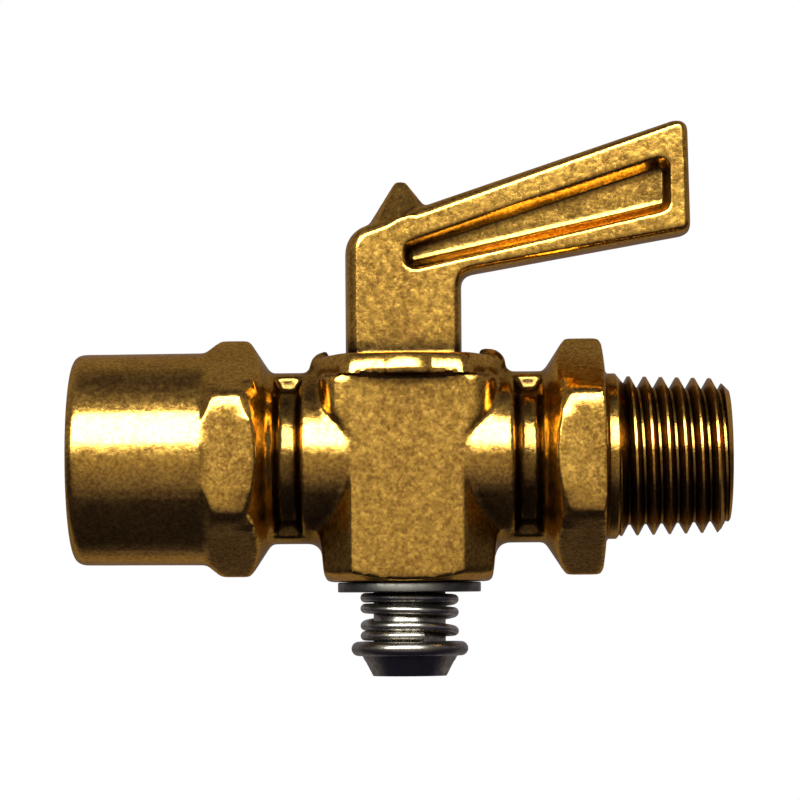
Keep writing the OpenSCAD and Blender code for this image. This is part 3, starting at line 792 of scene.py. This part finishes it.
def window(value, low, high, soft):
    """One where a value lies between two limits, with soft edges."""
    rise = node(
        sky,
        "ShaderNodeMapRange",
        {"Value": value, "From Min": low - soft, "From Max": low + soft},
        interpolation_type="SMOOTHSTEP",
    )
    fall = node(
        sky,
        "ShaderNodeMapRange",
        {"Value": value, "From Min": high - soft, "From Max": high + soft, "To Min": 1.0, "To Max": 0.0},
        interpolation_type="SMOOTHSTEP",
    )
    return node(
        sky, "ShaderNodeMath", {0: rise.outputs["Result"], 1: fall.outputs["Result"]}, operation="MULTIPLY"
    ).outputs[0]


front_share = node(
    sky,
    "ShaderNodeMapRange",
    {"Value": toward, "From Min": 0.45, "From Max": 1.0},
    interpolation_type="SMOOTHSTEP",
).outputs["Result"]
back_share = node(
    sky,
    "ShaderNodeMapRange",
    {"Value": toward, "From Min": -0.1, "From Max": -0.7},
    interpolation_type="SMOOTHSTEP",
).outputs["Result"]
sides = node(
    sky,
    "ShaderNodeMix",
    {0: back_share, 6: surroundings(SIDES), 7: surroundings(BACK)},
    data_type="RGBA",
)
around = node(
    sky,
    "ShaderNodeMix",
    {0: front_share, 6: sides.outputs[2], 7: surroundings(FRONT)},
    data_type="RGBA",
)
reach = node(sky, "ShaderNodeMath", {0: toward, 1: 0.001}, operation="MAXIMUM").outputs[0]
across = node(sky, "ShaderNodeMath", {0: split.outputs["X"], 1: reach}, operation="DIVIDE").outputs[0]
above = node(sky, "ShaderNodeMath", {0: split.outputs["Z"], 1: reach}, operation="DIVIDE").outputs[0]
lit = node(
    sky,
    "ShaderNodeMath",
    {0: window(across, -1.1, 0.42, 0.06), 1: window(above, 0.27, 1.15, 0.04)},
    operation="MULTIPLY",
).outputs[0]
soft_box = node(sky, "ShaderNodeMath", {0: lit, 1: SOFT_BOX}, operation="MULTIPLY").outputs[0]
ambient = node(sky, "ShaderNodeBackground", {"Color": around.outputs[2]})
lamp = node(sky, "ShaderNodeBackground", {"Color": (1, 1, 1, 1), "Strength": soft_box})
studio = node(sky, "ShaderNodeAddShader", {0: ambient.outputs[0], 1: lamp.outputs[0]})
white = node(sky, "ShaderNodeBackground", {"Color": (1, 1, 1, 1), "Strength": 1.0})
rays = node(sky, "ShaderNodeLightPath")
mix = node(
    sky,
    "ShaderNodeMixShader",
    {0: rays.outputs["Is Camera Ray"], 1: studio.outputs[0], 2: white.outputs[0]},
)
sky.links.new(mix.outputs[0], sky.nodes["World Output"].inputs["Surface"])

# %% Floor and view
FLOOR_Z = -0.14
bpy.ops.object.select_all(action="DESELECT")
bpy.ops.mesh.primitive_plane_add(size=2, location=(PLUG_X, 0, FLOOR_Z))
floor = bpy.context.object
floor.name = "floor"
floor_material = bpy.data.materials.new("white_paper")
floor_material.use_nodes = True
floor_material.node_tree.nodes["Principled BSDF"].inputs["Base Color"].default_value = (1, 1, 1, 1)
floor.data.materials.append(floor_material)
floor.visible_glossy = False
bpy.context.scene.view_settings.view_transform = "Standard"
